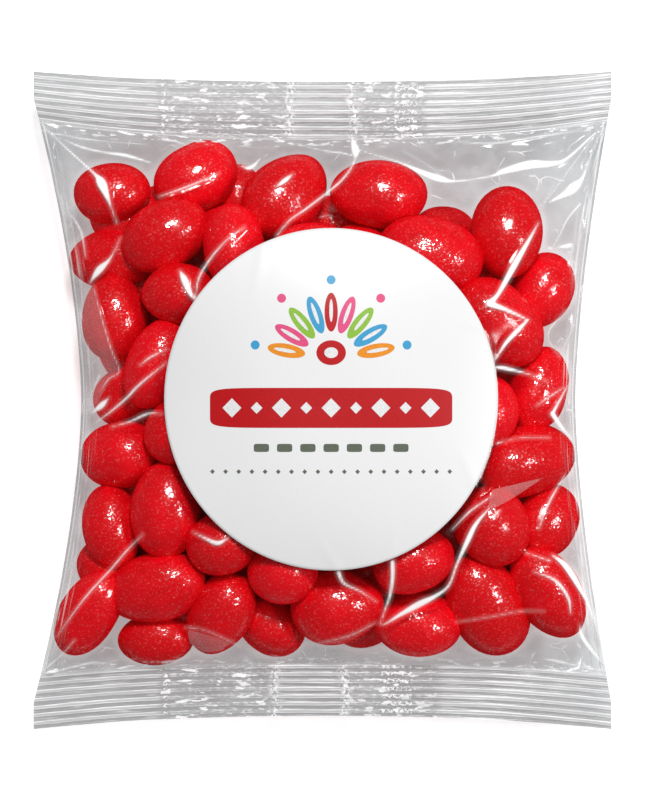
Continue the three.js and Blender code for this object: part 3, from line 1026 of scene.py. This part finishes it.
def sugar_shell():
    """Red sugar: patchy, finely grained and specked, with a bumpy glaze and pin-point glitter."""
    n = Nodes("sugar_shell")
    cloud = n.math("ADD", n.times(n.value("tone"), 0.5), n.times(n.noise(3.5, 3.0), 0.9))
    red = n.blend(n.step(cloud, 0.45, 1.0), DARK_RED, BRIGHT_RED)
    grained = n.blend(n.step(n.noise(0.45), 0.52, 0.72), red, GRAIN_RED)
    cells = n.add("TexVoronoi", Vector=n.place, Scale=1 / (SPECK_PITCH * MM), Randomness=1.0)
    dot = n.fade(cells.outputs["Distance"], 0.07, 0.17)
    cell = n.add("SeparateColor", Color=cells.outputs["Color"]).outputs["Red"]
    color = n.blend(n.times(dot, n.step(cell, 0.35, 0.7), SPECK_STRENGTH), grained, SPECK)
    soft = n.bump(0.06, n.noise(1.7))
    fine = n.bump(0.13, n.noise(0.85, 1.5, 0.4), Normal=soft)
    shell = n.add("BsdfPrincipled", Base_Color=color, Normal=soft, Roughness=0.5,
                  Specular_IOR_Level=0.0)
    glaze = n.add("BsdfGlossy", Color=WHITE, Roughness=0.07, Normal=fine)
    glint = n.blend(n.step(n.noise(0.42), 0.58, 0.68), DULL_GLITTER, BRIGHT_GLITTER)
    glitter = n.add("BsdfGlossy", Color=glint, Roughness=0.38, Normal=soft)
    return n.finish(n.add("AddShader", _0=n.mix(GLAZE_SHARE, shell, glaze), _1=glitter))


def in_seal(n):
    return n.step(n.value("rib"), -0.2, 0.2)


def painted_seal_highlights(n):
    """How white the crimp is, as a painted highlight: two bright lines on each rib, broken up where
    it is crumpled.
    """
    phase = n.value("rib")
    rough = n.value("rough")
    from_crest = n.times(n.off(n.math("FRACT", phase), 0.5), 2.0)
    streak = n.streaks(n.along("X", 7), n.times(phase, 6.0))
    shifted = n.math("ADD", from_crest, n.times(n.math("SUBTRACT", streak, 0.5), 0.5))
    lines = n.fade(n.off(shifted, 0.34), 0.03, 0.13)
    band = n.times(n.fade(shifted, 0.30, 0.48), 0.30)
    threads = n.times(n.step(streak, 0.55, 0.68), 0.45)
    dashes = n.step(n.streaks(n.along("X", 1.1), n.times(phase, 5.0), 7.0), 0.48, 0.62)
    kept = n.flip(n.times(n.flip(dashes), rough))
    # Bright beads, painted glints, along the lap's edges and on the crests where the crimp is most
    # crumpled.
    crumpled = n.times(n.step(rough, 0.8, 0.95), n.fade(from_crest, 0.35, 0.75))
    beads = n.times(n.step(n.noise(0.6, 3.0, 0.65), 0.48, 0.54),
                    n.most(n.value("seam"), crumpled))
    flecks = n.times(n.step(n.streaks(n.along("X", 3.4), n.times(phase, 1.5), 11.0), 0.58, 0.63),
                     n.step(rough, 0.4, 0.7))
    rib_highlights = n.most(n.times(n.most(lines, band, threads), kept), beads, flecks)
    uneven = n.streaks(n.along("X", 16), n.times(phase, 0.35), detail=2.0)
    return n.times(rib_highlights, n.math("ADD", 0.42, n.times(uneven, 0.8)), in_seal(n))


def side_highlights_and_milk(n):
    """Thin wrinkles along the side folds: how white each point is, a painted highlight, and how
    milky it is.
    """
    side = n.value("side")
    near = n.fade(side, 1.0, 4.0)
    streak = n.streaks(n.times(side, 1 / 0.55), n.along("Y", 14), 3.0, 2.0, distortion=0.4)
    edge = n.times(n.step(side, 0.35, 0.6), n.fade(side, 0.6, 0.9), 0.5)
    white = n.most(n.times(n.step(streak, 0.56, 0.66), near, 0.4), edge)
    milky = n.most(n.times(n.fade(streak, 0.36, 0.46), near, 0.35),
                   n.times(n.fade(side, 0.5, 1.2), 0.40))
    body = n.flip(in_seal(n))
    return n.times(white, body), n.times(milky, body)


def pucker_highlights(n):
    """Broken bright dashes, painted highlights, where the film leaves the end seals."""
    away = n.value("pucker")
    dashes = n.step(n.streaks(n.along("X", 2.6), n.times(away, 1 / 0.7), 5.0), 0.53, 0.62)
    edge = n.times(n.fade(away, 0.05, 0.3), 0.35)
    return n.times(n.most(n.times(dashes, n.fade(away, 0.3, 2.2)), edge), 0.8)


def loose_reflection(n):
    """A painted reflection where the film hangs free of the sweets: faint bright crinkle lines and
    a pale haze.
    """
    warp = n.add("TexNoise", Vector=n.place, Scale=1 / (7 * MM), Detail=1.0).outputs["Color"]
    shift = n.add("VectorMath", {"operation": "SCALE"}, _0=warp, Scale=6 * MM)
    where = n.add("VectorMath", {"operation": "ADD"}, _0=n.place, _1=shift)
    ridges = n.add("TexVoronoi", {"feature": "DISTANCE_TO_EDGE"}, Vector=where,
                   Scale=1 / (5.5 * MM))
    lines = n.times(n.fade(ridges, 0.0, 0.035), n.step(n.noise(4.0), 0.48, 0.68), 0.45)
    # A pale painted haze that stands for the free film's reflection.
    cloud = n.times(n.step(n.noise(3.0), 0.35, 0.75), 0.09)
    return n.times(n.math("ADD", lines, cloud), n.value("loose"))


def clear_film():
    """Clear film, milky in the seals and along the sides, with painted highlights and haze on its
    creases, crimp, wrinkles and puckers, and painted shade where slack.
    """
    n = Nodes("clear_film")
    # Less light through where the film is slack and on the back film: painted shade under the bag.
    shade_dimmed = n.most(n.value("loose"), n.value("tint"))
    clear = n.add("BsdfTransparent", Color=n.blend(shade_dimmed, CLEAR, SHADE_DIMMED))
    ripple = n.bump(0.03, n.noise(1.8), 0.5)
    gloss = n.add("BsdfGlossy", Color=WHITE, Roughness=0.14, Normal=ripple)
    facing = n.add("LayerWeight", Blend=0.5, Normal=ripple).outputs["Facing"]
    rise = n.times(n.math("POWER", facing, 5.0), MIRROR_RISE)
    film = n.mix(n.math("ADD", rise, MIRROR_HEAD_ON), clear, gloss)

    # Painted pale haze in the film's double folds, standing for their reflection.
    veil_haze = n.times(n.step(n.value("veil"), -0.06, 0.08), VEIL_HAZE)
    side_highlight, side_milk = side_highlights_and_milk(n)
    milk = n.most(veil_haze, n.times(in_seal(n), SEAL_MILK), side_milk)
    film = n.mix(milk, film, n.add("BsdfDiffuse", Color=MILKY))

    crease = n.value("crease")
    # Painted highlight on each crease: a white core and a faint halo round it.
    core = n.times(n.step(crease, -0.14, 0.42), 0.95)
    halo = n.times(n.step(crease, -0.7, 0.1), 0.07)
    # All the film's painted highlights and painted haze, put on as white.
    white = n.most(core, halo, veil_haze, painted_seal_highlights(n), side_highlight, pucker_highlights(n), loose_reflection(n))
    film = n.mix(white, film, n.add("BsdfDiffuse", Color=PAINTED_CREASE_HIGHLIGHT))
    return n.finish(n.mix(n.value("faint"), film, n.add("BsdfTransparent")))


def label_paper():
    n = Nodes("label_paper")
    fibre = n.noise(0.5, 3.0)
    return n.finish(n.add("BsdfPrincipled", Base_Color=n.blend(fibre, PAPER_DARK, PAPER_BRIGHT),
                          Roughness=0.42, Normal=n.bump(0.02, fibre, 0.3)))


def label_ink():
    n = Nodes("label_ink")
    grain = n.noise(0.35, 3.0)
    ink = n.add("Attribute", {"attribute_name": "ink"}).outputs["Color"]
    deep = n.add("MixRGB", {"blend_type": "MULTIPLY"}, Fac=1.0, Color1=ink, Color2=WORN_INK)
    worn = n.blend(n.step(grain, 0.40, 0.65), ink, deep)
    return n.finish(n.add("BsdfPrincipled", Base_Color=worn, Roughness=0.40,
                          Specular_IOR_Level=0.3, Normal=n.bump(0.01, grain, 0.3)))


def white_floor():
    n = Nodes("white_floor")
    return n.finish(n.add("AddShader", _0=n.add("BsdfDiffuse", Color=FLOOR_COLOUR),
                          _1=n.add("Emission", Color=WHITE, Strength=FLOOR_GLOW)))


# --- Camera, floor and light ---

FRAME_HEIGHT = 806
PIXEL = 0.1886  # millimetres at the seals' level
CAMERA_HEIGHT = 950.0  # above the seals
SENSOR = 36.0
VIEW_CENTRE = (0.0, -0.5)
NEAREST_SEEN = 0.05  # this and what follows are in metres, watts and shares of white
FLOOR_HALF = 1.5
FILL, MIRRORED_FILL = 0.34, 0.04
# Each lamp: its angles off the view's axis towards +X and +Y, its distance, size and power.
LAMPS = {"top_light": ((4, 28), 0.9, 0.15, 5.7), "right_light": ((44, -4), 0.9, 0.14, 2.4)}


def make_camera():
    camera = bpy.data.cameras.new("camera")
    camera.sensor_width = SENSOR
    camera.lens = SENSOR * CAMERA_HEIGHT / (FRAME_HEIGHT * PIXEL)
    camera.clip_start = NEAREST_SEEN
    rig = linked("camera", camera)
    rig.location = [v * MM for v in (*VIEW_CENTRE, SEAL_LEVEL + CAMERA_HEIGHT)]
    bpy.context.scene.camera = rig


def make_floor():
    corners = [(x * FLOOR_HALF, y * FLOOR_HALF, 0) for x, y in ((-1, -1), (1, -1), (1, 1), (-1, 1))]
    mesh = bpy.data.meshes.new("floor")
    mesh.from_pydata(corners, [], [(0, 1, 2, 3)])
    mesh.materials.append(white_floor())
    floor = linked("floor", mesh)
    floor.visible_glossy = False


def make_light(name, towards, distance, size, power):
    lamp = bpy.data.lights.new(name, "AREA")
    lamp.shape = "SQUARE"
    lamp.size = size
    lamp.energy = power
    rig = linked(name, lamp)
    direction = Vector((math.tan(math.radians(towards[0])), math.tan(math.radians(towards[1])), 1))
    direction.normalize()
    rig.location = direction * distance
    rig.rotation_euler = direction.to_track_quat("Z", "Y").to_euler()


def make_world():
    """Even pale fill from all round, which the film hardly mirrors."""
    n = Nodes("studio", "worlds")
    mirrored = n.add("LightPath").outputs["Is Glossy Ray"]
    strength = n.add("MapRange", Value=mirrored, To_Min=FILL, To_Max=MIRRORED_FILL)
    n.add("OutputWorld", Surface=n.add("Background", Color=WHITE, Strength=strength))
    bpy.context.scene.world = n.owner


def main():
    """Builds the scene."""
    bpy.context.scene.view_settings.view_transform = "Standard"
    make_camera()
    make_floor()
    for name, lamp in LAMPS.items():
        make_light(name, *lamp)
    make_world()
    sweets = make_sweets()
    sweets.data.materials.append(sugar_shell())
    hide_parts("bag")
    film = clear_film()
    for piece in make_films(sweets):
        piece.data.materials.append(film)
    label = make_label()
    label.data.materials.append(label_paper())
    make_print().data.materials.append(label_ink())


main()
